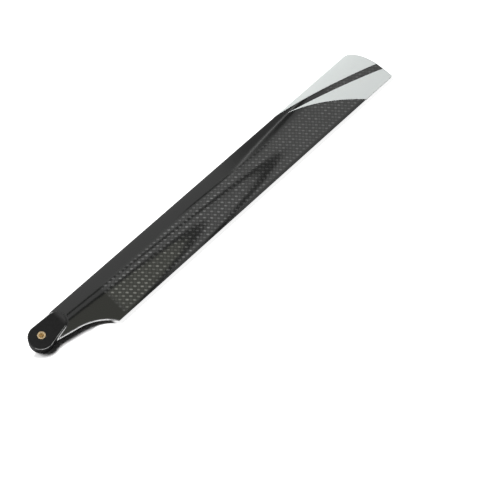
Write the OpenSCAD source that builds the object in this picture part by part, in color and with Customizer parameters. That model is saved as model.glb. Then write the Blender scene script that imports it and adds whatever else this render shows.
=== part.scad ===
// Main rotor blade of a small model helicopter: a moulded carbon blade with a symmetric
// aerofoil, a thick bolt boss at the root, a brass bush and a white painted tip.
// Millimetres. X runs from the bolt hole to the tip, +Y to the leading edge, +Z up.
// The origin is the centre of the bolt hole, on the chord plane.

/* [Blade] */
// Bolt hole centre to the end of the tip
blade_length = 185; // [150:1:260]
// Leading edge to trailing edge
chord = 21; // [18:0.5:30]
// Greatest thickness of the aerofoil
blade_thickness = 2.5; // [1.8:0.1:3.6]
// Thickness of the trailing edge
trailing_edge = 0.4; // [0.2:0.05:0.8]
// Leading edge to the bolt hole's centre
hole_setback = 5.4; // [4.5:0.1:7]

/* [Tip] */
// Length along the span of the curve that rounds the tip's leading corner
tip_curve_length = 8.4; // [3:0.2:20]
// Depth along the chord of that curve
tip_curve_depth = 16; // [8:0.5:17]
// Radius of the tip's trailing corner
tip_corner_r = 0.7; // [0.2:0.1:2]
// Width of the rounded-over border along the tip
tip_border = 1.8; // [0.6:0.1:3]

/* [Root boss] */
// Thickness of the boss, over its two flat pads
boss_thickness = 4; // [3:0.1:6]
// Bolt hole to the boss's round end
boss_end = 5.6; // [5:0.1:8]
// Radius of that round end
boss_r = 5.1; // [4.5:0.1:6]
// Leading edge to the boss's leading side
boss_setback = 0.7; // [0.3:0.05:1.2]
// Radius of the boss's rim edge
rim_r = 0.5; // [0.2:0.05:0.8]
// Bolt hole to the centre of the pad's rounded inner end
pad_length = 7.4; // [5:0.1:12]
// Radius of the pad's rounded inner end
pad_end_r = 3.7; // [2:0.1:4]
// Run of the slope from the pad's inner end down to the blade
pad_slope = 0.8; // [0.4:0.1:2]
// Drop of that slope, on each face
pad_drop = 1; // [0.6:0.1:1.4]
// Leading edge to the foot of that slope
pad_margin = 0.6; // [0.3:0.05:1.2]
// Bolt hole to where the leading edge starts, beside the pad's inner end
nose_start = 8.6; // [7.5:0.1:10]

/* [Trailing cut-out at the root] */
// Bolt hole to the corner where the cut-out reaches the trailing edge
cutout_length = 25; // [20:0.5:40]
// Angle at which the cut-out leaves the boss, in degrees from the span
cutout_angle = 12; // [6:0.5:20]
// Radius of the hollow that turns the cut-out to the trailing edge
cutout_r = 22; // [18:0.5:40]
// How far the cut-out starts inside the boss's outline
cutout_inset = 1; // [0.1:0.1:1.5]
// Radius of the cut-out's edges
cutout_edge = 0.4; // [0.2:0.05:1]

/* [Bush] */
// Diameter of the bolt hole in the bush
bolt_d = 2; // [1.5:0.1:3]
// Wall of the bush
bush_wall = 0.6; // [0.4:0.05:1]
// Chamfer at each mouth of the bolt hole
bush_chamfer = 0.15; // [0:0.05:0.3]
// Depth of the bush's ends below the pads
bush_setback = 0.05; // [0:0.01:0.2]
// Clearance between the bush and the boss, on the radius
bush_clearance = 0.02; // [0.01:0.01:0.1]

/* [Tip paint] */
// Thickness of the paint film
paint_film = 0.08; // [0.04:0.01:0.2]
// End of the tip to the start of the leading field, at the leading edge
paint_length = 52; // [30:1:70]
// End of the tip to the point of the trailing field
paint_point = 46.7; // [25:0.1:65]
// Leading edge to the point of the trailing field
paint_point_setback = 2.8; // [1.5:0.1:4]
// End of the tip to where the trailing field starts, at the trailing edge
paint_trail = 16.8; // [8:0.1:30]
// Leading edge to the bare stripe, at the tip
stripe_setback = 12.7; // [9:0.1:14]
// Width of the bare stripe at the tip
stripe_w = 3.4; // [1:0.1:4]
// Bow of the leading field's edge towards the leading edge
bow_lead = 1.8; // [0:0.1:4]
// Bow of the trailing field's edge along the stripe
bow_stripe = 1.2; // [0:0.1:4]
// Bow of the trailing field's inner edge
bow_inner = 4.5; // [0:0.1:6]

/* [Hidden] */
$fn = 48;

boss_centre = [boss_r - boss_end, hole_setback - boss_setback - boss_r];
pad_shift = hole_setback - pad_margin - pad_slope - pad_end_r;
bush_d = bolt_d + 2 * bush_wall;
seat_d = bush_d + 2 * bush_clearance;
bush_length = boss_thickness - 2 * bush_setback;
// Room that cutting shapes reach past the faces they cut
margin = 2;

// Points between the leading and trailing edges, closest together at the two edges
rows = 44;
// Points along each rounded-over edge
edge_steps = 5;
// Points along each curved edge of the paint
curve_steps = 12;

// Corners of the cut-out, as [distance along the span, distance behind the leading edge]
cut_dir = [cos(cutout_angle), sin(cutout_angle)];
cut_normal = [-sin(cutout_angle), cos(cutout_angle)];
cut_start = [boss_centre[0], hole_setback - boss_centre[1]] + (boss_r - cutout_inset) * cut_normal;
cut_end = [cutout_length, chord];
cut_across = (cut_end - cut_start) * cut_normal - cutout_r;
cut_straight = (cut_end - cut_start) * cut_dir - sqrt(cutout_r ^ 2 - cut_across ^ 2);
cut_turn = cut_start + cut_straight * cut_dir;
cut_centre = cut_turn + cutout_r * cut_normal;

// Share of the chord at which the aerofoil is thickest
crest_share = 0.3;
// Shape of a symmetric aerofoil, 1 at its thickest, by share of the chord
function aerofoil(s) = 10 * (0.2969 * sqrt(s) - 0.126 * s - 0.3516 * s ^ 2 + 0.2843 * s ^ 3 - 0.1036 * s ^ 4);

// Half thickness of the blade at a share of the chord; skin is the thickness of a film laid over it
function half_thickness(s, skin) =
    let (edge = trailing_edge / 2 + skin)
    let (crest = blade_thickness / 2 + skin - crest_share * edge)
    crest * aerofoil(s) + s * edge;

// Distance along the span to the cut-out's outline moved into the blade by inset, at a distance c
// behind the leading edge; ahead of the cut-out the blade ends inside the boss
function cutout_x(c, inset) =
    let (on_arc = c > cut_turn[1] - inset * cut_normal[1])
    let (line_x = cut_start[0] + (c + inset / cut_normal[1] - cut_start[1]) / tan(cutout_angle))
    let (arc_x = cut_centre[0] + sqrt((cutout_r + inset) ^ 2 - (cut_centre[1] - c) ^ 2))
    let (boss_x = cut_start[0] * max(0, (c - hole_setback) / (cut_start[1] - hole_setback)))
    on_arc ? arc_x : max(boss_x, line_x);

// Distance along the span to the tip's outline moved into the blade by inset
function tip_x(c, inset, skin) =
    let (ahead = max(0, (tip_curve_depth - c) / (tip_curve_depth + skin - inset)))
    let (behind = max(0, c - (chord - tip_corner_r)))
    let (reach = blade_length + skin - tip_curve_length)
    reach + (tip_curve_length - inset) * sqrt(max(0, 1 - ahead ^ 2))
        - tip_corner_r + sqrt(max(0, tip_corner_r ^ 2 - behind ^ 2));

// Round-over of an edge: angles from the edge itself to the flat of the blade
edge_angles = [for (k = [0 : edge_steps]) 90 * k / edge_steps];

// Station k of the blade's skin at a share s of the chord: distance along the span, and half thickness
function root_station(k, s, skin) =
    let (full = half_thickness(s, skin))
    let (round = min(cutout_edge, 0.7 * full))
    let (angle = edge_angles[k])
    [cutout_x(s * chord, round * (1 - cos(angle))), full - round * (1 - sin(angle))];
function tip_station(k, s, skin) =
    let (full = half_thickness(s, skin))
    let (edge = trailing_edge / 2 + skin)
    let (border = min(tip_border, 0.8 * s * chord))
    let (angle = edge_angles[edge_steps - k])
    [tip_x(s * chord, border * (1 - cos(angle)), skin), min(full, edge + (full - edge) * sin(angle))];
function station(k, s, skin) =
    k <= edge_steps ? root_station(k, s, skin) : tip_station(k - edge_steps - 1, s, skin);

// Blade without its boss: rings of points round the aerofoil, one for each station along the span
module aerofoil_loft(skin = 0) {
    shares = [for (j = [0 : rows]) (1 - cos(180 * j / rows)) / 2];
    last = 2 * edge_steps + 1;
    ring = 2 * rows + 1;
    depth = chord + 2 * skin;
    points = [
        for (k = [0 : last])
            for (m = [0 : ring - 1])
                let (s = shares[abs(rows - m)])
                let (at = station(k, s, skin))
                [at[0], hole_setback + skin - s * depth, m < rows ? at[1] : m > rows ? -at[1] : 0]
    ];
    skin_faces = [
        for (k = [0 : last - 1])
            for (m = [0 : ring - 1])
                let (next = (m + 1) % ring)
                each [
                    [k * ring + m, k * ring + next, (k + 1) * ring + next],
                    [k * ring + m, (k + 1) * ring + next, (k + 1) * ring + m]
                ]
    ];
    end_strip = [
        for (m = [0 : rows - 1])
            each m < rows - 1
                ? [[m, ring - 1 - m, ring - 2 - m], [m, ring - 2 - m, m + 1]]
                : [[m, ring - 1 - m, m + 1]]
    ];
    tip_strip = [for (f = end_strip) [last * ring + f[0], last * ring + f[2], last * ring + f[1]]];
    polyhedron(points, concat(skin_faces, end_strip, tip_strip), convexity = 4);
}

// Round puck of the boss's thickness, flat to radius top_r and rounded or sloped out to radius base_r
module boss_puck(top_r, base_r, drop) {
    half = boss_thickness / 2;
    rim = [
        for (angle = edge_angles)
            [top_r + (base_r - top_r) * sin(angle), half - drop * (1 - cos(angle))]
    ];
    upper = concat([[0, half]], rim);
    rotate_extrude($fn = 40)
        polygon(concat(upper, [for (i = [len(upper) - 1 : -1 : 0]) [upper[i][0], -upper[i][1]]]));
}

// Bolt boss: round at the hole, with flat pads that narrow and slope down into the blade
module root_boss() {
    hull() {
        translate([boss_centre[0], boss_centre[1], 0])
            boss_puck(boss_r - rim_r, boss_r, rim_r);
        translate([pad_length, pad_shift, 0])
            boss_puck(pad_end_r, pad_end_r + pad_slope, pad_drop);
    }
}

// Room beside the boss, from its round end to the slanted start of the leading edge
module nose_room() {
    inner = hole_setback - boss_setback - rim_r;
    outer = hole_setback + margin;
    linear_extrude(blade_thickness + 2 * margin, center = true)
        polygon([
            [-boss_end, inner],
            [nose_start + inner - hole_setback, inner],
            [nose_start + outer - hole_setback, outer],
            [-boss_end, outer]
        ]);
}

module blade_body() {
    color([0.14, 0.14, 0.14])
        difference() {
            union() {
                difference() {
                    aerofoil_loft();
                    nose_room();
                }
                root_boss();
            }
            cylinder(d = seat_d, h = boss_thickness + 2 * margin, center = true);
        }
}

module root_bush() {
    half = bush_length / 2;
    mouth = bolt_d / 2 + bush_chamfer;
    color([0.78, 0.6, 0.3])
        rotate_extrude()
            polygon([
                [bolt_d / 2, -half + bush_chamfer],
                [mouth, -half],
                [bush_d / 2, -half],
                [bush_d / 2, half],
                [mouth, half],
                [bolt_d / 2, half - bush_chamfer]
            ]);
}

// Curve of a paint edge from p to q, bowed towards the leading edge
function paint_edge(p, q, bow) =
    let (mid = (p + q) / 2 - [0, bow])
    [
        for (i = [0 : curve_steps])
            let (t = i / curve_steps)
            (1 - t) ^ 2 * p + 2 * t * (1 - t) * mid + t ^ 2 * q
    ];

// Outlines of the two painted fields, as distances along the span and behind the leading edge
function lead_field() =
    let (start = [blade_length - paint_length, 0])
    let (finish = [blade_length, stripe_setback])
    concat(
        [[start[0] - margin, -margin]],
        paint_edge(start, finish, bow_lead),
        [[blade_length + margin, stripe_setback], [blade_length + margin, -margin]]
    );
function trail_field() =
    let (point = [blade_length - paint_point, paint_point_setback])
    let (finish = [blade_length, stripe_setback + stripe_w])
    let (corner = [blade_length - paint_trail, chord])
    let (inner = paint_edge(corner, point, bow_inner))
    concat(
        [for (i = [0 : curve_steps - 1]) inner[i]],
        paint_edge(point, finish, bow_stripe),
        [
            [blade_length + margin, stripe_setback + stripe_w],
            [blade_length + margin, chord + margin],
            [blade_length - paint_trail + margin, chord + margin]
        ]
    );

module painted_field(outline) {
    linear_extrude(blade_thickness + 2 * margin, center = true)
        polygon([for (p = outline) [p[0], hole_setback - p[1]]]);
}

module tip_paint() {
    color([0.9, 0.91, 0.9])
        intersection() {
            difference() {
                aerofoil_loft(paint_film);
                aerofoil_loft();
            }
            union() {
                painted_field(lead_field());
                painted_field(trail_field());
            }
        }
}

blade_body();
root_bush();
tip_paint();
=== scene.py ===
import math

import bmesh
import bpy
from mathutils import Matrix, Vector


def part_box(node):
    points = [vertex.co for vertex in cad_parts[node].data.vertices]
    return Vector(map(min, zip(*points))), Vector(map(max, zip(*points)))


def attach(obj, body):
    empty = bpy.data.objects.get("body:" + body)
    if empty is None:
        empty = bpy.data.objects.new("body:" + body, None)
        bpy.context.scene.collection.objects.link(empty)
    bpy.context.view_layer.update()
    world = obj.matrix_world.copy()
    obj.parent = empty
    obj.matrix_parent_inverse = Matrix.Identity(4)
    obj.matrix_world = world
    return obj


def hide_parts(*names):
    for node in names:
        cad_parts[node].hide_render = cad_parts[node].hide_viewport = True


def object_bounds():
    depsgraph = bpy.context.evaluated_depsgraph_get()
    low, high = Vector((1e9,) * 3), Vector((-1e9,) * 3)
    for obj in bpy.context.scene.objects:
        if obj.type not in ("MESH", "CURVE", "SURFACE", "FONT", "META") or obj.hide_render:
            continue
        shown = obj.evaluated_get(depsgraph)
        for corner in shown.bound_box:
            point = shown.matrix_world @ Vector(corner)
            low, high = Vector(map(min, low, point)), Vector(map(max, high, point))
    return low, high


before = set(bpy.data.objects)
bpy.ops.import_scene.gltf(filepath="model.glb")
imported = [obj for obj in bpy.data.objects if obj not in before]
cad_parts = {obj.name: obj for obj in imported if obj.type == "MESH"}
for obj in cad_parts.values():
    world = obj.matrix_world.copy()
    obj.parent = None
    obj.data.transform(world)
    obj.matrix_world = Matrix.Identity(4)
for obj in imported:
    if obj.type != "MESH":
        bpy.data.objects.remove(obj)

mm = 0.001  # shapes are worked out in millimetres, meshes are in metres
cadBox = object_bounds()
bodyLow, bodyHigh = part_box("blade_body")
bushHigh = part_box("root_bush")[1]
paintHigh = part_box("tip_paint")[1]
print("frame loaded:", ", ".join(sorted(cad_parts)))

# Blade shell: x runs to the tip, y to the leading edge, back is the distance behind the leading edge
blade = {
    "length": bodyHigh[0] / mm,
    "chord": 21.0,
    "thickness": 2.5,
    "trailingEdge": 0.4,
    "trailingRound": 0.12,  # radius of the trailing edge's two corners
    "holeSetback": 5.4,
    "crestShare": 0.3,  # share of the chord where the aerofoil is thickest
    "tipCurveLength": 8.4,
    "tipCurveDepth": 16.0,
    "tipCorner": 0.7,
    "tipBorder": 1.8,  # width of the rounded-over border along the tip
    "tipBorderShare": 0.8,  # most of the distance back that this border takes
    "bossHalf": bodyHigh[2] / mm,
    "bossEnd": -bodyLow[0] / mm,
    "bossRadius": 5.1,
    "bossSetback": 0.7,
    "rimWidth": 0.3,  # width of the bevel round the pad
    "rimDrop": 0.215,
    "padLength": 7.4,
    "padMargin": 0.6,
    "padEndRadius": 3.7,
    "padSlope": 0.8,
    "noseStart": 8.6,  # where the leading edge starts, beside the pad's inner end
    "padSteepness": 2.2,  # fall of the pad's side below its rim
    "padBlend": 0.06,
    "footRise": 0.2,  # size of the narrow bevel where the pad meets the blade
    "footRun": 0.3,
    "cutLength": 25.0,
    "cutAngle": math.radians(12),
    "cutRadius": 22.0,
    "cutInset": 1.0,
    "cutBevel": 0.6,  # width of the bevel along the cut-out's edges
    "cutBevelDrop": 0.39,
    "cutBevelShare": 0.7,  # most of the half thickness that this bevel takes
    "bevelBlend": 0.04,  # how softly a bevel turns into the face beside it
    "holeRadius": 1.62,
}
chord, setback, bossRadius = blade["chord"], blade["holeSetback"], blade["bossRadius"]
padZone = 2 * blade["padLength"]  # the pad and its foot end before this x
aerofoil = {"scale": 10, "root": 0.2969, "powers": (-0.126, -0.3516, 0.2843, -0.1036)}  # symmetric section
halvings = {"tip": 24, "crease": 20}  # steps of the searches by halving


def aerofoilShape(share):
    polynomial = sum(factor * share ** (i + 1) for i, factor in enumerate(aerofoil["powers"]))
    return aerofoil["scale"] * (aerofoil["root"] * math.sqrt(share) + polynomial)


def halfThickness(share, film):
    edge = blade["trailingEdge"] / 2 + film
    crest = blade["thickness"] / 2 + film - blade["crestShare"] * edge
    return crest * aerofoilShape(share) + share * edge


# Centres of the boss's round end and of the pad's inner end
bossCentre = Vector((bossRadius - blade["bossEnd"], setback - blade["bossSetback"] - bossRadius))
bossBack = Vector((bossCentre.x, setback - bossCentre.y))
padCentre = Vector((blade["padLength"],
                    setback - blade["padMargin"] - blade["padSlope"] - blade["padEndRadius"]))

# The cut-out's outline, in x and distance back: a straight run from the boss, then a hollow arc
cutAlong = Vector((math.cos(blade["cutAngle"]), math.sin(blade["cutAngle"])))
cutAcross = Vector((-cutAlong.y, cutAlong.x))
cutStart = bossBack + (bossRadius - blade["cutInset"]) * cutAcross
cutEnd = Vector((blade["cutLength"], chord))
cutOffset = (cutEnd - cutStart).dot(cutAcross) - blade["cutRadius"]
cutStraight = (cutEnd - cutStart).dot(cutAlong) - math.sqrt(blade["cutRadius"] ** 2 - cutOffset**2)
cutTurn = cutStart + cutStraight * cutAlong
cutCentre = cutTurn + blade["cutRadius"] * cutAcross


def cutReach(x, back):
    # distance from the cut-out's outline into the blade
    offset = Vector((x, back)) - cutStart
    if offset.dot(cutAlong) < cutStraight:
        return -offset.dot(cutAcross)
    return math.hypot(x - cutCentre.x, back - cutCentre.y) - blade["cutRadius"]


def trailingY(x):
    if x >= cutEnd.x:
        back = chord
    elif x > cutTurn.x:
        back = cutCentre.y - math.sqrt(blade["cutRadius"] ** 2 - (x - cutCentre.x) ** 2)
    else:
        back = cutStart.y + (x - cutStart.x) * math.tan(blade["cutAngle"])
    return setback - back


def tipX(back, inset, film):
    ahead = max(0, (blade["tipCurveDepth"] - back) / (blade["tipCurveDepth"] + film - inset))
    behind = max(0, back - (chord - blade["tipCorner"]))
    reach = blade["length"] + film - blade["tipCurveLength"] - blade["tipCorner"]
    curve = (blade["tipCurveLength"] - inset) * math.sqrt(max(0, 1 - ahead**2))
    return reach + curve + math.sqrt(max(0, blade["tipCorner"] ** 2 - behind**2))


def tipInset(x, back, film, border):
    # how far inside the tip's outline a point lies, found by halving
    near, far = 0.0, border
    if x <= tipX(back, border, film):
        return border
    for step in range(halvings["tip"]):
        middle = (near + far) / 2
        if x > tipX(back, middle, film):
            far = middle
        else:
            near = middle
    return near


def roundOver(reach, radius):
    # drop of a rounded edge at a distance from its outline
    if reach >= radius:
        return 0.0
    return radius - math.sqrt(max(0, radius**2 - (radius - max(0, reach)) ** 2))


def bevelDrop(reach, share):
    # flat bevel along the cut-out, blended into the face and narrower where the blade is thin
    fall = blade["cutBevelDrop"] * (share - reach / blade["cutBevel"])
    return (fall + math.hypot(fall, blade["bevelBlend"])) / 2


def padReach(x, y):
    # distance outside the pad's flat face, which is round at the bolt hole and narrower at its inner end
    axis = padCentre - bossCentre
    spot = Vector((x, y)) - bossCentre
    flatRadius = bossRadius - blade["rimWidth"]
    taper = (flatRadius - blade["padEndRadius"]) / axis.length
    side = math.sqrt(1 - taper**2)
    along = spot.dot(axis) / axis.length
    across = abs(spot.x * axis.y - spot.y * axis.x) / axis.length
    station = along * side - across * taper
    if station < 0:
        return spot.length - flatRadius
    if station > side * axis.length:
        return math.hypot(along - axis.length, across) - blade["padEndRadius"]
    return across * side + along * taper - flatRadius


def padTop(x, y):
    # flat pad, its bevelled rim and its steep side
    outside = padReach(x, y)
    fall = blade["rimDrop"] * outside / blade["rimWidth"]
    drop = (fall + math.hypot(fall, blade["bevelBlend"])) / 2
    steeper = blade["padSteepness"] - blade["rimDrop"] / blade["rimWidth"]
    past = max(0, outside - blade["rimWidth"])
    return blade["bossHalf"] - drop - past * steeper


def smoothMax(a, b, size):
    overlap = max(0, size - abs(a - b)) / size
    return max(a, b) + overlap**2 * size / 4


def bareTop(x, y, film=0.0):
    # half thickness of the moulding without its pad, with film added all round
    back = setback - y
    share = min(1, max(0, (back + film) / (chord + 2 * film)))
    full = halfThickness(share, film)
    edge = blade["trailingEdge"] / 2 + film
    top = full
    border = min(blade["tipBorder"], blade["tipBorderShare"] * share * chord)
    if x > blade["length"] - blade["tipCurveLength"] - 2 * blade["tipBorder"] and border > 0:
        inset = tipInset(x, back, film, border)
        top = min(full, edge + (full - edge) * math.sqrt(1 - (1 - inset / border) ** 2))
    top -= roundOver(chord + film - back, blade["trailingRound"])
    if x < blade["cutLength"] + 2 * blade["cutBevel"]:
        narrower = min(1, blade["cutBevelShare"] * full / blade["cutBevelDrop"])
        top -= bevelDrop(max(0, cutReach(x, back)), narrower)
    return top


def footRise(lift):
    # height of the narrow bevel at the pad's foot, from how far the pad's side stands above the blade
    rise = blade["footRise"] * (1 + lift / (blade["footRun"] * blade["padSteepness"]))
    return (rise + math.hypot(rise, blade["bevelBlend"])) / 2


def padCreases(spot):
    # each value is zero on a crease of the pad: both edges of its rim, then both edges of its foot
    lift = padTop(spot.x, spot.y) - bareTop(spot.x, spot.y)
    footLift = blade["footRun"] * blade["padSteepness"]
    upperFoot = blade["footRise"] / (1 - blade["footRise"] / footLift)
    reach = padReach(spot.x, spot.y)
    return -reach, blade["rimWidth"] - reach, lift - upperFoot, lift + footLift


def bladeTop(x, y, film=0.0):
    top = bareTop(x, y, film)
    if x < padZone:
        pad = padTop(x, y)
        top = smoothMax(top + footRise(pad - top), pad, blade["padBlend"])
    return top


# How finely the shell is meshed: counts of columns round the outline, and of rows from the outline inwards
shellMesh = {
    "rootColumns": 72,
    # end of each run along the span, and its columns
    "sideRuns": ((5.0, 28), (16.0, 66), (25.0, 40), (30.0, 16), (165.0, 60)),
    "tailColumns": 14,
    "tipColumns": 44,
    "tipFlatColumns": 8,
    "cornerColumns": 8,
    "edgeRows": 9,
    "innerRows": 48,
    "rowEase": 1.6,  # rows lie closer together towards the outline
    "spineBack": 10.5,  # the line that the columns of both sides run to
    "spineEnd": 176.0,
    "spineEndBack": 8.0,
    "rootWidth": 1.5 * blade["rimWidth"],  # widths of the closer rows along each stretch of the outline
    "cutWidth": 1.1,
    "cutCornerWidth": 0.9,  # narrows to the trailing edge's width within the run below
    "cutCornerRun": 2.0,
    "trailWidth": 0.3,
    "tipCornerGrowth": 1.0,
    "noseWidth": 1.6,
    "widthShare": 0.6,  # most of a column that those widths take
    "fixedOuter": 2,  # rows at a column's two ends that stay off the pad's creases
    "fixedInner": 3,
    "holeSlack": 1.01,  # points within this many hole radii lie on the hole
}

# Where the boss's round end meets the cut-out, and the ends of the straight edges
cutCross = math.acos((bossRadius - blade["cutInset"]) / bossRadius)
bossTurn = 1.5 * math.pi - blade["cutAngle"] + cutCross
crossX = bossCentre.x + bossRadius * math.cos(bossTurn)
leadingEnd = blade["length"] - blade["tipCurveLength"]
trailingEnd = blade["length"] - blade["tipCorner"]

# Inner points of the columns: round the bolt hole, then along a spine to a pole near the tip
fanEnd = shellMesh["sideRuns"][0][0]
joinX = shellMesh["sideRuns"][1][0]
tailStart = shellMesh["sideRuns"][-1][0]
spineY = setback - shellMesh["spineBack"]
pole = Vector((shellMesh["spineEnd"], setback - shellMesh["spineEndBack"]))


def sharesOf(count):
    return [(i + 1) / count for i in range(count)]


def ring(size, angle):
    return Vector((size * math.cos(angle), size * math.sin(angle)))


def leadingY(x):
    # the boss's side runs straight from its round end to the slanted start of the leading edge
    axis = padCentre - bossCentre
    taper = bossRadius - blade["padEndRadius"] - blade["padSlope"]
    turn = math.atan2(axis.y, axis.x) - math.asin(taper / axis.length)
    run = x - bossCentre.x
    if run < -bossRadius * math.sin(turn):
        return bossCentre.y + math.sqrt(bossRadius**2 - run**2)
    boss = bossCentre.y + (bossRadius + run * math.sin(turn)) / math.cos(turn)
    if x < padCentre.x:
        return boss
    return min(setback, max(boss, setback + x - blade["noseStart"]))


def spine(x):
    if x > joinX:
        return Vector((x, spineY))
    hole = blade["holeRadius"]
    share = (x - fanEnd) / (joinX - fanEnd)
    ease = share * share * (3 - 2 * share)
    return Vector((hole + (joinX - hole) * share, spineY * ease))


def trailingWidth(x):
    if x <= cutEnd.x:
        return shellMesh["cutWidth"]
    share = min(1, (x - cutEnd.x) / shellMesh["cutCornerRun"])
    corner = shellMesh["cutCornerWidth"]
    return corner + share * (shellMesh["trailWidth"] - corner)


def rootStations():
    stations = []
    for i in range(shellMesh["rootColumns"] + 1):
        angle = math.pi / 2 + (bossTurn - math.pi / 2) * i / shellMesh["rootColumns"]
        border = bossCentre + ring(bossRadius, angle)
        stations.append((border, ring(blade["holeRadius"], angle), shellMesh["rootWidth"]))
    return stations


def sideStations():
    # the trailing and the leading side, from the boss to the tip's curve
    trailing = []
    leading = []
    hole = blade["holeRadius"]
    start = crossX
    for end, count in shellMesh["sideRuns"]:
        for share in sharesOf(count):
            x = start + (end - start) * share
            if x <= fanEnd:
                part = (x - crossX) / (fanEnd - crossX)
                backInner = ring(hole, bossTurn + (2 * math.pi - bossTurn) * part)
                frontInner = ring(hole, math.pi / 2 * (1 - part))
            else:
                backInner = frontInner = spine(x)
            trailing.append((Vector((x, trailingY(x))), backInner, trailingWidth(x)))
            frontX = max(bossCentre.x, x)
            leading.append((Vector((frontX, leadingY(frontX))), frontInner, shellMesh["noseWidth"]))
        start = end
    for share in sharesOf(shellMesh["tailColumns"]):
        inner = Vector((tailStart, spineY)).lerp(pole, share)
        x = tailStart + (trailingEnd - tailStart) * share
        trailing.append((Vector((x, trailingY(x))), inner, shellMesh["trailWidth"]))
        x = tailStart + (leadingEnd - tailStart) * share
        leading.append((Vector((x, setback)), inner, shellMesh["noseWidth"]))
    return trailing, leading


def tipStations():
    # the tip from its trailing corner to the leading edge
    tip = []
    for share in sharesOf(shellMesh["cornerColumns"]):
        turn = math.pi / 2 * share
        back = chord - blade["tipCorner"] * (1 - math.cos(turn))
        x = trailingEnd + blade["tipCorner"] * math.sin(turn)
        tip.append((x, back, shellMesh["trailWidth"] + share * shellMesh["tipCornerGrowth"]))
    cornerBack = chord - blade["tipCorner"]
    for share in sharesOf(shellMesh["tipFlatColumns"]):
        back = cornerBack + (blade["tipCurveDepth"] - cornerBack) * share
        tip.append((blade["length"], back, blade["tipBorder"]))
    for share in sharesOf(shellMesh["tipColumns"])[:-1]:
        turn = math.pi / 2 * (1 - share)
        back = blade["tipCurveDepth"] * (1 - math.cos(turn))
        x = leadingEnd + blade["tipCurveLength"] * math.sin(turn)
        tip.append((x, back, blade["tipBorder"]))
    return [(Vector((x, setback - back)), pole, width) for x, back, width in tip]


def outlineStations():
    # each station: a point of the outline, the inner point that its column runs to, and the edge's width
    root = rootStations()
    trailing, leading = sideStations()
    return root + trailing + tipStations() + leading[::-1] + root[:1]


# How the pieces' meshes are closed: distances in metres
meshing = {"merge": 2e-7, "filmMerge": 1e-6, "sharpAngle": math.radians(38)}


def mirrorInZ(bm):
    geom = bm.verts[:] + bm.edges[:] + bm.faces[:]
    bmesh.ops.mirror(bm, geom=geom, merge_dist=meshing["merge"], axis="Z")


def cleanMesh(bm, dist):
    bmesh.ops.remove_doubles(bm, verts=bm.verts[:], dist=dist)
    bmesh.ops.dissolve_degenerate(bm, edges=bm.edges[:], dist=dist)
    bmesh.ops.recalc_face_normals(bm, faces=bm.faces[:])


def finishMesh(bm, name, materials):
    cleanMesh(bm, meshing["merge"])
    mesh = bpy.data.meshes.new(name)
    bm.to_mesh(mesh)
    bm.free()
    mesh.shade_smooth()
    mesh.set_sharp_from_angle(angle=meshing["sharpAngle"])
    piece = bpy.data.objects.new(name, mesh)
    bpy.context.scene.collection.objects.link(piece)
    for material in materials:
        mesh.materials.append(material)
    return piece


def gridPlace(vert, columns, rows):
    # column and row of a vertex in a fresh grid of size 1
    return round((vert.co.x + 1) / 2 * columns), round((vert.co.y + 1) / 2 * rows)


# Which finish a face of the shell gets: the slots of its materials, and the limits of the root's finishes
skinSlot = {"gloss": 0, "pad": 1, "shadedWall": 2, "bead": 3}
skinPlace = {
    "pastCut": 0.3,  # they end this far past the cut-out
    "wallTilt": 0.3,  # faces steeper than this are walls
    "wallFront": -3.0,  # walls past the pad lie behind this y
    "innerEnd": 0.45,  # x part of the direction from the pad's centre to its inner end
}


def shellSkin(face):
    spot = face.calc_center_median() / mm
    if spot.x > blade["cutLength"] + skinPlace["pastCut"]:
        return skinSlot["gloss"]
    besideNose = spot.x < blade["noseStart"] or spot.y < skinPlace["wallFront"]
    if abs(face.normal.z) < skinPlace["wallTilt"] and besideNose:
        return skinSlot["shadedWall"]
    if spot.x < padZone:
        onFlat, onRim, onSide, onFoot = [value > 0 for value in padCreases(spot)]
        atInnerEnd = (spot.xy - padCentre).normalized().x > skinPlace["innerEnd"]
        if onFlat or onFoot and atInnerEnd:
            return skinSlot["pad"]
        if onFoot and onRim:
            return skinSlot["gloss"]
        if onFoot and onSide:
            return skinSlot["shadedWall"]
        if onFoot:
            return skinSlot["bead"]
    onBevel = cutReach(spot.x, setback - spot.y) < blade["cutBevel"]
    return skinSlot["bead" if onBevel else "gloss"]


def snapToCrease(spots, crease):
    # slides the nearest row of a column onto one crease of the pad, and gives that row
    inside = [padCreases(spot)[crease] > 0 for spot in spots]
    for row in range(shellMesh["fixedOuter"], len(spots) - shellMesh["fixedInner"]):
        if inside[row] == inside[row + 1]:
            continue
        near, far = spots[row], spots[row + 1]
        for step in range(halvings["crease"]):
            middle = near.lerp(far, 0.5)
            if (padCreases(middle)[crease] > 0) == inside[row]:
                near = middle
            else:
                far = middle
        closer = row if (near - spots[row]).length < (near - spots[row + 1]).length else row + 1
        spots[closer] = near
        return closer
    return None


def columnSpots(station):
    # the rows of one column, from the outline to its inner point
    border, inner, width = station
    edgeRows = shellMesh["edgeRows"]
    depth = (inner - border).length
    width = min(width, shellMesh["widthShare"] * depth)
    insets = [0]
    for row in range(edgeRows):
        insets.append(width * (1 - math.cos(math.pi / 2 * row / (edgeRows - 1))))
    for share in sharesOf(shellMesh["innerRows"]):
        insets.append(width + (depth - width) * share ** shellMesh["rowEase"])
    insets.append(depth)
    return [border.lerp(inner, inset / depth) for inset in insets]


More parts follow.
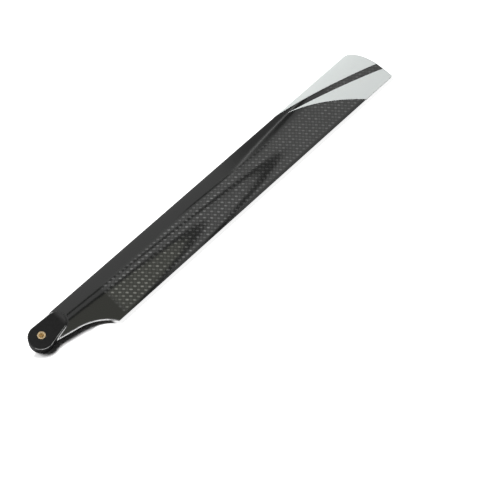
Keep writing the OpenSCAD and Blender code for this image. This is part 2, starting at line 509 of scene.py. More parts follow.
def makeShell(materials):
    stations = outlineStations()
    columns = len(stations) - 1
    rows = shellMesh["edgeRows"] + shellMesh["innerRows"] + 1
    grid = [columnSpots(station) for station in stations]
    onCrease = [[] for value in padCreases(padCentre)]
    creased = {}
    for column, spots in enumerate(grid):
        if spots[0].x >= padZone:
            continue
        for crease in range(len(onCrease)):
            row = snapToCrease(spots, crease)
            if row is not None:
                creased[column, row] = crease
    bm = bmesh.new()
    bmesh.ops.create_grid(bm, x_segments=columns, y_segments=rows, size=1)
    for vert in bm.verts:
        column, row = gridPlace(vert, columns, rows)
        spot = grid[column][row]
        onHole = row == rows and spot.length < blade["holeRadius"] * shellMesh["holeSlack"]
        height = 0 if row == 0 or onHole else bladeTop(spot.x, spot.y)
        vert.co = Vector((spot.x, spot.y, height)) * mm
        if (column, row) in creased:
            onCrease[creased[column, row]].append(vert)
    for verts in onCrease:
        bmesh.ops.connect_verts(bm, verts=verts)
    mirrorInZ(bm)
    bmesh.ops.recalc_face_normals(bm, faces=bm.faces[:])
    for face in bm.faces:
        face.material_index = shellSkin(face)
    return finishMesh(bm, "bladeShell", materials)


# White paint: a thin film in two fields, with a bare stripe between them
paint = {
    "film": paintHigh[0] / mm - blade["length"],
    "depth": 1.1,  # thickness of the mesh in films, so that it reaches into the skin
    "length": 52.0,
    "point": 46.7,
    "pointBack": 2.8,
    "trail": 16.8,
    "stripeBack": 12.7,
    "stripeWidth": 3.4,
    "bowLead": 1.8,
    "bowStripe": 1.2,
    "bowInner": 4.5,
    "columns": 110,
    "rows": 30,
    "trailRows": 34,
    "noseRows": 10,
    "edgeRows": 8,  # rows and columns that close up towards the rim, and the shares that they take
    "columnEdge": 0.07,
    "rowEdge": 0.08,
    "leadStraight": 0.7,  # shares of the columns and rows along the straight parts of the outline
    "trailStraight": 0.92,
    "tipStraight": 0.84,
    "leadEase": 0.9,
    "noseShare": 0.5,  # most of a column that the rounded nose takes
    "leastReach": 1e-6,
}


def bowedEdge(first, last, bow, share):
    # curve of a paint edge, bowed towards the leading edge
    middle = (first + last) / 2 - Vector((0, bow))
    return (1 - share) ** 2 * first + 2 * share * (1 - share) * middle + share**2 * last


def placeOnFilm(vert, spot, onRim):
    y = setback - spot.y
    height = 0 if onRim else bladeTop(spot.x, y, paint["film"])
    vert.co = Vector((spot.x, y, height)) * mm


def shapeLeadField(bm):
    film = paint["film"]
    start = Vector((blade["length"] - paint["length"] - film, -film))
    stripeEnd = Vector((blade["length"], paint["stripeBack"]))
    curveStart = blade["length"] + film - blade["tipCurveLength"]
    depth = blade["tipCurveDepth"] + film
    lastTurn = math.acos((blade["tipCurveDepth"] - paint["stripeBack"]) / depth)
    straight = paint["leadStraight"]
    columns, rows, noseRows = paint["columns"], paint["rows"], paint["noseRows"]
    bmesh.ops.create_grid(bm, x_segments=columns, y_segments=rows, size=1)
    for vert in bm.verts:
        column, row = gridPlace(vert, columns, rows)
        share = column / columns
        if share <= straight:
            part = share / straight
            outer = Vector((start.x + (curveStart - start.x) * part, -film))
        else:
            turn = lastTurn * (share - straight) / (1 - straight)
            outer = Vector((curveStart + blade["tipCurveLength"] * math.sin(turn),
                            blade["tipCurveDepth"] - depth * math.cos(turn)))
        edge = bowedEdge(start, stripeEnd, paint["bowLead"], share ** paint["leadEase"])
        edge.x = min(edge.x, tipX(max(0, edge.y), 0, film))
        reach = (edge - outer).length
        nose = min(shellMesh["noseWidth"], paint["noseShare"] * reach)
        if row <= noseRows:
            inset = nose * (1 - math.cos(math.pi / 2 * max(0, row - 1) / (noseRows - 1)))
        else:
            inset = nose + (reach - nose) * (row - noseRows) / (rows - noseRows)
        spot = outer.lerp(edge, inset / reach) if reach > paint["leastReach"] else outer
        placeOnFilm(vert, spot, row == 0)


def shapeTrailField(bm):
    film = paint["film"]
    length = blade["length"]
    corner = blade["tipCorner"]
    point = Vector((length - paint["point"], paint["pointBack"]))
    stripeEnd = Vector((length + film, paint["stripeBack"] + paint["stripeWidth"]))
    trailStart = Vector((length - paint["trail"], chord + film))
    cornerX = length + film - corner
    cornerBack = chord + film - corner
    halfTurn = math.pi / 4  # the trailing edge and the tip's edge meet halfway round the corner
    columns, rows, edgeRows = paint["columns"], paint["trailRows"], paint["edgeRows"]

    def cornerArc(turn):
        return Vector((cornerX + corner * math.sin(turn), cornerBack + corner * math.cos(turn)))

    def alongTrail(share):
        straight = paint["trailStraight"]
        if share <= straight:
            return trailStart.lerp(Vector((cornerX, chord + film)), share / straight)
        return cornerArc(halfTurn * (share - straight) / (1 - straight))

    def alongTip(share):
        straight = paint["tipStraight"]
        if share <= straight:
            return stripeEnd.lerp(Vector((length + film, cornerBack)), share / straight)
        return cornerArc(math.pi / 2 - halfTurn * (share - straight) / (1 - straight))

    def alongStripe(share):
        return bowedEdge(point, stripeEnd, paint["bowStripe"], share)

    def alongInner(share):
        return bowedEdge(trailStart, point, paint["bowInner"], 1 - share)

    def patch(u, v):
        # a four-sided patch between the four edges
        sides = alongStripe(u).lerp(alongTrail(u), v) + alongInner(v).lerp(alongTip(v), u)
        corners = point.lerp(stripeEnd, u).lerp(trailStart.lerp(cornerArc(halfTurn), u), v)
        return sides - corners

    def spread(index, count, edgeShare):
        # even steps, then steps that close up towards the rim, then the rim itself
        if index >= count - edgeRows:
            turn = math.pi / 2 * min(1, (index - (count - edgeRows)) / (edgeRows - 1))
            return 1 - edgeShare + edgeShare * math.sin(turn)
        return (1 - edgeShare) * index / (count - edgeRows)

    bmesh.ops.create_grid(bm, x_segments=columns, y_segments=rows, size=1)
    for vert in bm.verts:
        column, row = gridPlace(vert, columns, rows)
        u = spread(column, columns, paint["columnEdge"])
        v = spread(row, rows, paint["rowEdge"])
        placeOnFilm(vert, patch(u, v), row == rows or column == columns)


def makePaint(material):
    whole = bmesh.new()
    for shape in (shapeLeadField, shapeTrailField):
        field = bmesh.new()
        shape(field)
        mirrorInZ(field)
        cleanMesh(field, meshing["filmMerge"])
        fieldMesh = bpy.data.meshes.new("paintField")
        field.to_mesh(fieldMesh)
        field.free()
        whole.from_mesh(fieldMesh)
        bpy.data.meshes.remove(fieldMesh)
    bmesh.ops.solidify(whole, geom=whole.faces[:], thickness=paint["film"] * paint["depth"] * mm)
    return finishMesh(whole, "tipPaint", [material])


# Brass bush: a turned tube with a chamfered mouth and a lightly broken outer edge
bush = {
    "radius": bushHigh[0] / mm,
    "half": bushHigh[2] / mm,
    "boltRadius": 1.0,
    "chamfer": 0.15,
    "outerBreak": 0.06,
    "steps": 96,
}


def makeBush(material):
    bm = bmesh.new()
    outer, half, bore = bush["radius"], bush["half"], bush["boltRadius"]
    chamfer, outerBreak = bush["chamfer"], bush["outerBreak"]
    profile = [(bore, 0), (bore, half - chamfer), (bore + chamfer, half),
               (outer - outerBreak, half), (outer, half - outerBreak), (outer, 0)]
    verts = [bm.verts.new((r * mm, 0, z * mm)) for r, z in profile]
    edges = [bm.edges.new(pair) for pair in zip(verts, verts[1:])]
    bmesh.ops.spin(bm, geom=verts + edges, axis=(0, 0, 1), cent=(0, 0, 0), angle=2 * math.pi,
                   steps=bush["steps"], use_merge=True)
    mirrorInZ(bm)
    return finishMesh(bm, "rootBush", [material])


# Node helpers for the finishes
def grey(level):
    return (level, level, level, 1)


def isSocket(value):
    return isinstance(value, bpy.types.NodeSocket)


def feed(socket, value):
    if isSocket(value):
        socket.id_data.links.new(value, socket)
    else:
        socket.default_value = value


def addNode(kind, inputs, **settings):
    # a node in the tree of the sockets that feed it
    tree = [value.id_data for value in inputs.values() if isSocket(value)][0]
    node = tree.nodes.new(kind)
    for name, value in settings.items():
        setattr(node, name, value)
    for key, value in inputs.items():
        feed(node.inputs[key], value)
    return node


def calc(operation, *values):
    return addNode("ShaderNodeMath", dict(enumerate(values)), operation=operation).outputs[0]


def plus(first, second):
    return calc("ADD", first, second)


def minus(first, second):
    return calc("SUBTRACT", first, second)


def times(first, *others):
    for value in others:
        first = calc("MULTIPLY", first, value)
    return first


def largest(first, *others):
    for value in others:
        first = calc("MAXIMUM", first, value)
    return first


def absolute(value):
    return calc("ABSOLUTE", value)


def hypotenuse(first, second):
    return calc("SQRT", plus(times(first, first), times(second, second)))


def ramp(value, low, high, toLow=0.0, toHigh=1.0):
    # smooth step of a value between two limits
    inputs = {"Value": value, "From Min": low, "From Max": high, "To Min": toLow, "To Max": toHigh}
    return addNode("ShaderNodeMapRange", inputs, interpolation_type="SMOOTHSTEP").outputs["Result"]


def rampAt(value, place, fade, toLow=0.0, toHigh=1.0):
    # smooth step whose two limits are counted from a place
    return ramp(value, place + fade[0], place + fade[1], toLow, toHigh)


def lineMask(offset, core, edge):
    # 1 within the core of a line, 0 past its edge
    return ramp(absolute(offset), core, edge, 1.0, 0.0)


def axesOf(vector):
    return addNode("ShaderNodeSeparateXYZ", {0: vector}).outputs


def vectorCalc(operation, inputs):
    return addNode("ShaderNodeVectorMath", inputs, operation=operation).outputs[0]


def noise(place, spec, output=0):
    inputs = {"Vector": place, "Scale": spec[0], "Detail": spec[1]}
    return addNode("ShaderNodeTexNoise", inputs).outputs[output]


def blendValue(share, first, second):
    return addNode("ShaderNodeMix", {0: share, 2: first, 3: second}, data_type="FLOAT").outputs[0]


def blendColour(share, first, second):
    node = addNode("ShaderNodeMix", {0: share}, data_type="RGBA")
    colours = [socket for socket in node.inputs if socket.type == "RGBA"]
    feed(colours[0], first)
    feed(colours[1], second)
    return [socket for socket in node.outputs if socket.type == "RGBA"][0]


def seenRays(tree):
    # 1 for rays that show the surround itself: from the camera, mirrored or let through
    rays = tree.nodes.new("ShaderNodeLightPath").outputs
    return largest(rays["Is Camera Ray"], rays["Is Glossy Ray"], rays["Is Transmission Ray"])


def newMaterial(name):
    material = bpy.data.materials.new(name)
    material.use_nodes = True
    tree = material.node_tree
    tree.nodes.clear()
    output = tree.nodes.new("ShaderNodeOutputMaterial")
    shader = tree.nodes.new("ShaderNodeBsdfPrincipled")
    tree.links.new(shader.outputs[0], output.inputs["Surface"])
    place = tree.nodes.new("ShaderNodeTexCoord").outputs["Object"]
    return material, shader, place


def applyFinish(shader, colour, rough, height, bump):
    feed(shader.inputs["Base Color"], colour)
    feed(shader.inputs["Roughness"], rough)
    inputs = {"Height": height, "Strength": bump["strength"], "Distance": bump["depth"]}
    feed(shader.inputs["Normal"], addNode("ShaderNodeBump", inputs).outputs[0])


# Plain weave laid at 45 degrees to the span, so that like crossings repeat along the span and the chord
weave = {
    "pitch": 2.0 * mm,
    "phase": (0, -0.4 * mm, 0),
    "paintedHighlight": (0.47, 0.225),  # length and width of the painted highlights, soft ovals on the tows, in cells
    "crossTow": (0.42, 0.3),
    "bulge": (0.5, 0.5),
    "fallOff": 2.718,
    "strength": (0.55, 1.25),  # the faintest and the strongest cell
}


def makeWeaveGroup():
    group = bpy.data.node_groups.new("towWeave", "ShaderNodeTree")
    group.interface.new_socket("Position", in_out="INPUT", socket_type="NodeSocketVector")
    group.interface.new_socket("Pitch", in_out="INPUT", socket_type="NodeSocketFloat")
    for name in ("Strokes", "CrossTows", "Relief"):
        group.interface.new_socket(name, in_out="OUTPUT", socket_type="NodeSocketFloat")
    given = group.nodes.new("NodeGroupInput").outputs
    result = group.nodes.new("NodeGroupOutput").inputs
    parts = axesOf(given["Position"])
    rising = calc("DIVIDE", plus(parts[0], parts[1]), given["Pitch"])
    falling = calc("DIVIDE", minus(parts[0], parts[1]), given["Pitch"])
    risingCell = calc("FLOOR", rising)
    fallingCell = calc("FLOOR", falling)
    risingPart = minus(calc("FRACT", rising), 0.5)
    fallingPart = minus(calc("FRACT", falling), 0.5)
    parity = calc("FLOORED_MODULO", plus(risingCell, fallingCell), 2.0)
    even = calc("LESS_THAN", parity, 0.5)
    odd = minus(1.0, even)

    def oval(long, short, sizes):
        legs = [calc("POWER", calc("DIVIDE", absolute(part), extent), 2.0)
                for part, extent in zip((long, short), sizes)]
        return calc("POWER", weave["fallOff"], times(plus(*legs), -1.0))

    cell = addNode("ShaderNodeCombineXYZ", {0: risingCell, 1: fallingCell}).outputs[0]
    chance = addNode("ShaderNodeTexWhiteNoise", {"Vector": cell}, noise_dimensions="2D")
    strength = ramp(chance.outputs["Value"], 0.0, 1.0, *weave["strength"])
    # painted highlights: a soft bright oval on the crown of every other cell, for the light that its
    # fibres mirror
    paintedHighlights = times(oval(fallingPart, risingPart, weave["paintedHighlight"]), even, strength)
    crossing = times(oval(risingPart, fallingPart, weave["crossTow"]), odd, strength)
    feed(result["Strokes"], paintedHighlights)
    feed(result["CrossTows"], crossing)
    feed(result["Relief"], oval(risingPart, fallingPart, weave["bulge"]))
    return group


# Gloss carbon: each noise is a scale and a detail, each fade two limits counted from the place before it
carbon = {
    "bare": (0.0075, 0.0078, 0.0075, 1),  # plain skin at the leading edge, the root and the trailing edge
    "gap": (0.047, 0.0475, 0.0465, 1),
    # the last colour is a painted highlight, laid on the tows' crowns
    "cross": (0.08, 0.0805, 0.0795, 1),
    "paintedHighlight": (0.24, 0.241, 0.239, 1),
    "paintedHighlightRun": (40 * mm, 130 * mm),  # the painted highlights weaken along this part of the span
    "paintedHighlightFar": 0.45,
    "fibreShine": 0.75,  # how much of the cloth's light is mirrored by its fibres
    "weaveStart": 28.9 * mm,  # the cloth's cut edge near the root
    "startFade": (-0.5 * mm, 1.7 * mm),
    "weaveFront": 5.6,  # distance back where the cloth starts to show
    "frontFade": (-0.3, 2.9),
    "weaveRear": 19.7,
    "rearFade": (-0.3, 0.5),
    "wanderNoise": (90.0, 2.0),  # how unevenly the cloth starts to show
    "wander": 1.6,
    "warpNoise": (140.0, 1.0),  # how unevenly its tows are laid
    "warp": 0.5 * mm,
    "gloss": 0.05,
    "glossNoise": (900.0, 3.0),
    "glossVary": 0.02,
    "relief": 0.12,
    "peelNoise": (350.0, 2.0),
    "peel": 0.35,
    "bump": {"strength": 0.06, "depth": 0.2 * mm},
}


def makeCarbon(weaveGroup):
    material, shader, place = newMaterial("carbonSkin")
    parts = axesOf(place)
    back = calc("DIVIDE", minus(setback * mm, parts[1]), mm)
    wander = minus(noise(place, carbon["wanderNoise"]), 0.5)
    shownBack = plus(back, times(wander, carbon["wander"]))
    front = rampAt(shownBack, carbon["weaveFront"], carbon["frontFade"])
    rear = rampAt(back, carbon["weaveRear"], carbon["rearFade"], 1.0, 0.0)
    rootEdge = rampAt(parts[0], carbon["weaveStart"], carbon["startFade"])
    cloth = times(front, rear, rootEdge)
    seat = addNode("ShaderNodeMapping", {"Vector": place, "Location": weave["phase"]}).outputs[0]
    warp = noise(place, carbon["warpNoise"], "Color")
    shift = vectorCalc("SUBTRACT", {0: warp, 1: (0.5, 0.5, 0.5)})
    shift = vectorCalc("SCALE", {0: shift, "Scale": carbon["warp"]})
    laid = vectorCalc("ADD", {0: seat, 1: shift})
    inputs = {"Position": laid, "Pitch": weave["pitch"]}
    cells = addNode("ShaderNodeGroup", inputs, node_tree=weaveGroup).outputs
    colour = blendColour(cells["CrossTows"], carbon["gap"], carbon["cross"])
    # painted highlight: the bright ovals are laid into the colour, weaker towards the tip
    weaker = ramp(parts[0], *carbon["paintedHighlightRun"], 1.0, carbon["paintedHighlightFar"])
    colour = blendColour(times(cells["Strokes"], weaker), colour, carbon["paintedHighlight"])
    colour = blendColour(cloth, carbon["bare"], colour)
    feed(shader.inputs["Metallic"], times(cloth, carbon["fibreShine"]))
    grain = noise(place, carbon["glossNoise"])
    vary = carbon["glossVary"]
    rough = plus(carbon["gloss"] - vary, times(grain, 2 * vary))
    relief = times(cells["Relief"], cloth, carbon["relief"])
    peel = times(noise(place, carbon["peelNoise"]), carbon["peel"])
    applyFinish(shader, colour, rough, plus(relief, peel), carbon["bump"])
    return material


# Moulded black of the root: satin on the pads with painted sheen at their end, dull painted shade on the
# cut walls, and a clear bead along the edges
black = {
    "pad": {"low": grey(0.005), "high": grey(0.0086), "roughness": 0.38, "shine": 0.06},
    "paintedPadSheen": {"start": 8.4 * mm, "end": 11.5 * mm, "colour": grey(0.034)},  # painted sheen: the pads' inner end is painted paler, for the light that the gloss carbon beside it mirrors
    # painted shade: the walls get a darker, less shiny copy of the black, partly their own dull cut
    # finish, partly the shade they stand in
    "shadedWall": {"low": grey(0.003), "high": grey(0.007), "roughness": 0.55, "shine": 0.04},
    "bead": {"low": grey(0.006), "high": grey(0.011), "roughness": 0.12, "shine": 1.0},
    "grainNoise": (1100.0, 4.0),
    "grainLimits": (0.25, 0.75),
    "roughVary": 0.06,
    "bump": {"strength": 0.12, "depth": 0.03 * mm},
}


def makeBlack(name, spec, fade=None):
    material, shader, place = newMaterial(name)
    grain = noise(place, black["grainNoise"])
    colour = blendColour(grain, spec["low"], spec["high"])
    if fade:
        # painted sheen: the end of the pads is painted paler towards the gloss beside it
        paintedSheen = ramp(axesOf(place)[0], fade["start"], fade["end"])
        colour = blendColour(paintedSheen, colour, fade["colour"])
    vary = black["roughVary"]
    rough = ramp(grain, *black["grainLimits"], spec["roughness"] - vary, spec["roughness"] + vary)
    shader.inputs["Specular IOR Level"].default_value = spec["shine"]
    applyFinish(shader, colour, rough, grain, black["bump"])
    return material


whitePaint = {
    "colour": (0.66, 0.69, 0.68, 1),
    "shade": (0.63, 0.665, 0.655, 1),
    "roughness": 0.12,
    "roughVary": (-0.03, 0.05),
    "cloudNoise": (120.0, 3.0),
    "cloudLimits": (0.2, 0.8),
    "peelNoise": (700.0, 2.0),
    "bump": {"strength": 0.05, "depth": 0.1 * mm},
}


def makeWhitePaint():
    material, shader, place = newMaterial("tipWhite")
    cloud = noise(place, whitePaint["cloudNoise"])
    colour = blendColour(cloud, whitePaint["shade"], whitePaint["colour"])
    limits = [whitePaint["roughness"] + vary for vary in whitePaint["roughVary"]]
    rough = ramp(cloud, *whitePaint["cloudLimits"], *limits)
    peel = noise(place, whitePaint["peelNoise"])
    applyFinish(shader, colour, rough, peel, whitePaint["bump"])
    return material


brass = {
    "colour": (0.29, 0.22, 0.135, 1),
    "dull": (0.23, 0.17, 0.1, 1),
    # painted light: the bore is painted far paler than the brass, against the shade inside the hole
    "bore": (0.95, 0.79, 0.5, 1),
    "boreMargin": 0.05,
    "boreDull": 0.8,  # how much of its metal shine the bore loses, so that its painted light shows
    "roughness": 0.24,
    "roughVary": 0.14,
    "stainNoise": (1500.0, 3.0),
    "stainLimits": (0.2, 0.8),
    "turnPitch": 0.07 * mm,
    "bump": {"strength": 0.12, "depth": 0.01 * mm},
}


def makeBrass():
    material, shader, place = newMaterial("turnedBrass")
    parts = axesOf(place)
    radius = hypotenuse(parts[0], parts[1])
    turns = times(plus(radius, parts[2]), 2 * math.pi / brass["turnPitch"])
    stain = noise(place, brass["stainNoise"])
    colour = blendColour(stain, brass["dull"], brass["colour"])
    # painted light in the bore: a pale colour with less metal stands in for light that the shaded hole
    # does not get
    mouth = bush["boltRadius"] + bush["chamfer"] + brass["boreMargin"]
    paintedBoreLight = ramp(radius, bush["boltRadius"] * mm, mouth * mm, 1.0, 0.0)
    colour = blendColour(paintedBoreLight, colour, brass["bore"])
    feed(shader.inputs["Metallic"], minus(1.0, times(paintedBoreLight, brass["boreDull"])))
    rougher = brass["roughness"] + brass["roughVary"]
    rough = ramp(stain, *brass["stainLimits"], brass["roughness"], rougher)
    applyFinish(shader, colour, rough, calc("SINE", turns), brass["bump"])
    return material


# Pieces: the shell's finishes come in the order of skinSlot
skins = [makeCarbon(makeWeaveGroup()), makeBlack("bossSatin", black["pad"], black["paintedPadSheen"]),
         makeBlack("shadedWallBlack", black["shadedWall"]), makeBlack("edgeBead", black["bead"])]
print("finishes made")
shell = makeShell(skins)
coat = makePaint(makeWhitePaint())
tube = makeBush(makeBrass())
for piece, node, slot in ((shell, "blade_body", "carbon"), (coat, "tip_paint", "white_paint"),
                          (tube, "root_bush", "brass")):
    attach(piece, "root")
    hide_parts(node)
    print(piece.name + ":", len(piece.data.vertices), "vertices")

# Floor: pale, lifted to white for the camera, with the blade's shadow left on it
floor = {
    "size": 3.0,
    "cells": 2,
    "colour": grey(0.82),
    "speck": grey(0.84),
    "speckNoise": (4.0, 2.0),
    "roughness": 0.9,
    "lift": 0.9,
    "shadowNear": 1.3,  # the lift stays off the shadow behind the boss and the cut-out, in mm
    "shadowFar": 3.4,
    "shadowWay": Vector((0.42, 0.91)),  # where the shadow falls, in x and distance back
    "litFade": (-2.0, 1.5),  # where the shadow ends: on the boss's lit side and at the leading edge
    "frontFade": (-1, 3),
    "cornerFade": (-3, 0),  # then along the span and behind, from the cut-out's far corner
    "rearFade": (-0.5, 1),
    "narrowFade": (-10, -1),  # towards that corner the shadow gets so many times narrower
    "narrowing": 6.0,
}


def rootGap(place):
    # distance in mm outside the boss and the cut-out, large on the other sides of the blade
    parts = axesOf(place)
    x = calc("DIVIDE", parts[0], mm)
    back = minus(setback, calc("DIVIDE", parts[1], mm))

    def reach(centre):
        return hypotenuse(minus(x, centre.x), minus(back, centre.y))

    def along(start, way):
        return plus(times(minus(x, start.x), way.x), times(minus(back, start.y), way.y))

    bossGap = minus(reach(bossBack), bossRadius)
    arcGap = minus(blade["cutRadius"], reach(cutCentre))
    onArc = calc("GREATER_THAN", along(cutStart, cutAlong), cutStraight)
    cutGap = blendValue(onArc, along(cutStart, cutAcross), arcGap)
    bossReach = bossCentre.x + bossRadius * math.sin(blade["cutAngle"])
    pastBoss = calc("GREATER_THAN", x, bossReach)
    gap = calc("MINIMUM", bossGap, blendValue(pastBoss, bossGap, cutGap))
    gap = times(gap, rampAt(x, cutEnd.x, floor["narrowFade"], 1.0, floor["narrowing"]))
    lit = ramp(along(bossBack, floor["shadowWay"]), *floor["litFade"], 1.0, 0.0)
    front = rampAt(back, setback, floor["frontFade"], 1.0, 0.0)
    beyond = rampAt(x, cutEnd.x, floor["cornerFade"])
    behind = rampAt(back, cutEnd.y, floor["rearFade"])
    away = times(largest(lit, front, beyond, behind), floor["shadowFar"])
    return times(largest(gap, away), calc("GREATER_THAN", bossGap, 0.0))


def makeFloor():
    material, shader, place = newMaterial("paleFloor")
    tree = material.node_tree
    speck = noise(place, floor["speckNoise"])
    feed(shader.inputs["Base Color"], blendColour(speck, floor["colour"], floor["speck"]))
    shader.inputs["Roughness"].default_value = floor["roughness"]
    shader.inputs["Specular IOR Level"].default_value = 0.0
    lift = ramp(rootGap(place), floor["shadowNear"], floor["shadowFar"], 0.0, floor["lift"])
    glow = addNode("ShaderNodeEmission", {"Strength": times(seenRays(tree), lift)})
    both = addNode("ShaderNodeAddShader", {0: shader.outputs[0], 1: glow.outputs[0]})
    output = [node for node in tree.nodes if node.type == "OUTPUT_MATERIAL"][0]
    tree.links.new(both.outputs[0], output.inputs["Surface"])
    bm = bmesh.new()
    bmesh.ops.create_grid(bm, x_segments=floor["cells"], y_segments=floor["cells"], size=floor["size"] / 2)
    bmesh.ops.translate(bm, verts=bm.verts[:], vec=(0, 0, cadBox[0][2]))
    piece = finishMesh(bm, "floorSheet", [material])


makeFloor()

# Studio: an even white surround with a framed panel overhead, which the gloss mirrors as dark lines
studio = {
    "level": 0.06,
    "lean": 2.6,  # how much brighter the surround is on the leading side than on the trailing side
    "overhead": (0.2, 0.35),  # the panel, the strand and the drop fade in above these heights
    "panelEdges": (  # each frame of the panel: its two far edges, corner radius, brightness and tint
        {"far": 0.579, "side": 0.297, "round": 0.085, "inside": 0.92, "tint": (1, 1, 1)},
        {"far": 0.505, "side": 0.224, "round": 0.1, "inside": 0.74, "tint": (1, 1.01, 0.87)},
    ),
    "panelNear": -0.30,
    "lineHalf": 0.014,
    "lineDark": 0.05,
    "lineCore": 0.5,  # where the frames' lines start and end to fade, in half widths
    "lineEdge": 1.3,
    "cornerSize": 0.1,  # how far from a corner the frame's lines thicken, and how much
    "cornerCore": 0.3,
    "cornerWide": 0.3,
    "strand": {"far": 0.70, "sideLow": -0.03, "sideHigh": 0.13, "fade": (0, 0.03), "core": 0.3},
    "shadeStart": 0.287,  # a darker drop beyond the tip, mirrored along its leading edge
    "shadeSlope": 0.32,
    "shadeSoft": 0.012,
    "shadeFar": 0.375,
    "shadeFade": (0, 0.04),
    "shadeLevel": 0.45,
    "gleam": 3.5,  # brightness of the pale line along that drop
    "gleamHalf": 0.006,
    "gleamFade": (0, 0.03),
    "trimPlace": 0.03,  # a dark line past the pale one
    "trimHalf": 0.02,
    "trimFade": (0.015, 0.075),
    "trimLevel": 0.15,
}


def addPanel(far, side, overhead, colour):
    # each frame is a plain field with a dark line round it
    half = studio["lineHalf"]
    within = times(rampAt(far, studio["panelNear"], (0, half)),
                   rampAt(side, studio["panelNear"], (0, half)), overhead)
    for edge in studio["panelEdges"]:
        gaps = [minus(far, edge["far"]), minus(side, edge["side"])]
        legs = [largest(plus(gap, edge["round"]), 0.0) for gap in gaps]
        outside = minus(hypotenuse(*legs), edge["round"])
        field = times(ramp(outside, -half, half, 1.0, 0.0), within)
        panel = [edge["inside"] * channel for channel in edge["tint"]] + [1]
        colour = blendColour(field, colour, panel)
        corner = studio["cornerSize"]
        fromCorner = plus(absolute(gaps[0]), absolute(gaps[1]))
        widen = ramp(fromCorner, studio["cornerCore"] * corner, corner, 1 + studio["cornerWide"], 1.0)
        offset = calc("DIVIDE", outside, widen)
        line = lineMask(offset, half * studio["lineCore"], half * studio["lineEdge"])
        colour = blendColour(times(line, within), colour, grey(studio["lineDark"]))
    return colour


def addStrand(far, side, overhead, colour):
    # a short dark strand past the panel
    strand = studio["strand"]
    half = studio["lineHalf"]
    line = lineMask(minus(far, strand["far"]), half * strand["core"], half * studio["lineEdge"])
    span = times(rampAt(side, strand["sideLow"], strand["fade"]),
                 rampAt(side, strand["sideHigh"], strand["fade"], 1.0, 0.0))
    return blendColour(times(line, span, overhead), colour, grey(studio["lineDark"]))


def addDrop(x, y, overhead, colour):
    # the darker drop, then the dark and the pale line along it
    beyond = minus(minus(x, studio["shadeStart"]), times(y, studio["shadeSlope"]))
    shade = times(ramp(beyond, -studio["shadeSoft"], 0.0, 1.0, 0.0),
                  rampAt(x, studio["shadeFar"], studio["shadeFade"]), overhead)
    colour = blendColour(shade, colour, grey(studio["shadeLevel"]))
    trimHalf = studio["trimHalf"]
    trim = lineMask(minus(beyond, studio["trimPlace"]), trimHalf / 2, trimHalf)
    span = times(overhead, rampAt(x, studio["shadeFar"], studio["trimFade"]))
    colour = blendColour(times(trim, span), colour, grey(studio["trimLevel"]))
    gleamHalf = studio["gleamHalf"]
    gleam = lineMask(minus(beyond, gleamHalf), 0.0, gleamHalf)
    span = times(overhead, rampAt(x, studio["shadeFar"], studio["gleamFade"]))
    return blendColour(times(gleam, span), colour, grey(studio["gleam"]))


def makeWorld():
    world = bpy.data.worlds.new("studioSurround")
    bpy.context.scene.world = world
    world.use_nodes = True
    tree = world.node_tree
    tree.nodes.clear()
    output = tree.nodes.new("ShaderNodeOutputWorld")
    x, y, z = axesOf(tree.nodes.new("ShaderNodeTexCoord").outputs["Generated"])
    far = plus(x, y)
    side = minus(x, y)
    overhead = ramp(z, *studio["overhead"])
    colour = addPanel(far, side, overhead, grey(1))
    colour = addStrand(far, side, overhead, colour)
    colour = addDrop(x, y, overhead, colour)
    strength = calc("MULTIPLY_ADD", y, studio["level"] * studio["lean"], studio["level"])
    strength = largest(strength, 0.0, seenRays(tree))
    glow = addNode("ShaderNodeBackground", {"Color": colour, "Strength": strength})
    tree.links.new(glow.outputs[0], output.inputs["Surface"])


makeWorld()

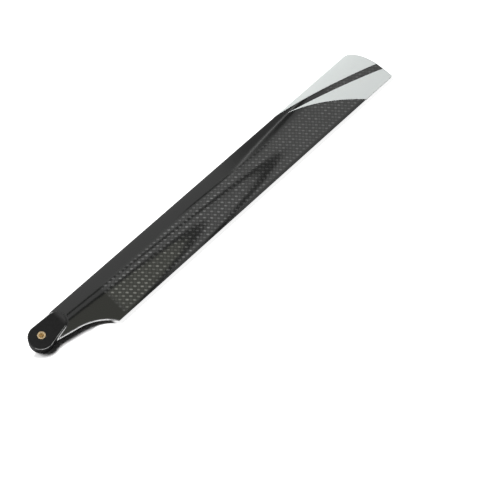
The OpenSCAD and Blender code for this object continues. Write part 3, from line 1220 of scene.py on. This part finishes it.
# Lamps: a key for everything, and small ones that each light one piece only
lamps = {  # from: azimuth, elevation and distance; size: length and width
    "key": {"aim": (0.06, -0.005, 0), "from": (115, 56, 1.0), "size": (0.36, 0.36), "power": 10.5},
    "tipFill": {"aim": (0.165, -0.005, 0), "from": (-75, 52, 0.6), "size": (0.3, 0.3), "power": 0.83,
                "lights": "tipPaint"},
    "cutEdge": {"aim": (0.014, -0.008, 0), "from": (-112, 39.5, 0.6), "size": (0.56, 0.07), "power": 1.1,
                "lights": "bladeShell"},
    "padEdge": {"aim": (0.005, -0.005, 0), "from": (-62, 33, 0.6), "size": (0.2, 0.1), "power": 0.45,
                "lights": "bladeShell"},
    "footEnd": {"aim": (0.004, -0.005, 0), "from": (-75, 13, 0.6), "size": (0.1, 0.1), "power": 0.25,
                "lights": "bladeShell"},
    "bossEdge": {"aim": (-0.003, -0.003, 0), "from": (-151, 40, 0.6), "size": (0.44, 0.18), "power": 1.2,
                 "lights": "bladeShell"},
}
lampGroups = {}
for piece in (shell, coat):
    lampGroups[piece.name] = bpy.data.collections.new(piece.name + "Light")
    lampGroups[piece.name].objects.link(piece)


def heading(azimuth, elevation):
    level = math.cos(elevation)
    return Vector((level * math.cos(azimuth), level * math.sin(azimuth), math.sin(elevation)))


def addLamp(name, spec):
    data = bpy.data.lights.new(name, "AREA")
    data.shape = "RECTANGLE"
    data.size, data.size_y = spec["size"]
    data.energy = spec["power"]
    lamp = bpy.data.objects.new(name, data)
    bpy.context.scene.collection.objects.link(lamp)
    if "lights" in spec:
        lamp.light_linking.receiver_collection = lampGroups[spec["lights"]]
    azimuth, elevation, distance = spec["from"]
    away = heading(math.radians(azimuth), math.radians(elevation))
    lamp.location = Vector(spec["aim"]) + distance * away
    lamp.rotation_euler = away.to_track_quat("Z", "Y").to_euler()


for name, spec in lamps.items():
    addLamp(name + "Lamp", spec)
print("floor and lamps set")

# Camera at the photograph's viewing angle
camera = {
    "aim": Vector((82.04, -29.73, 0)) * mm,
    "azimuth": math.radians(-145),
    "elevation": math.radians(64),
    "roll": math.radians(9.55),
    "distance": 472.8 * mm,
    "lens": 86.72,
    "sensor": 36,
    "clipStart": 0.01,
}


def makeCamera():
    data = bpy.data.cameras.new("photoCamera")
    data.lens = camera["lens"]
    data.sensor_width = camera["sensor"]
    data.clip_start = camera["clipStart"]
    eye = bpy.data.objects.new("photoCamera", data)
    bpy.context.scene.collection.objects.link(eye)
    away = heading(camera["azimuth"], camera["elevation"])
    level = Vector((0, 0, 1)).cross(away).normalized()
    rise = away.cross(level)
    right = math.cos(camera["roll"]) * level + math.sin(camera["roll"]) * rise
    up = away.cross(right)
    axes = Matrix((right, up, away)).transposed().to_4x4()
    axes.translation = camera["aim"] + camera["distance"] * away
    eye.matrix_world = axes
    bpy.context.scene.camera = eye


makeCamera()
bpy.context.scene.view_settings.view_transform = "Standard"
print("camera set")
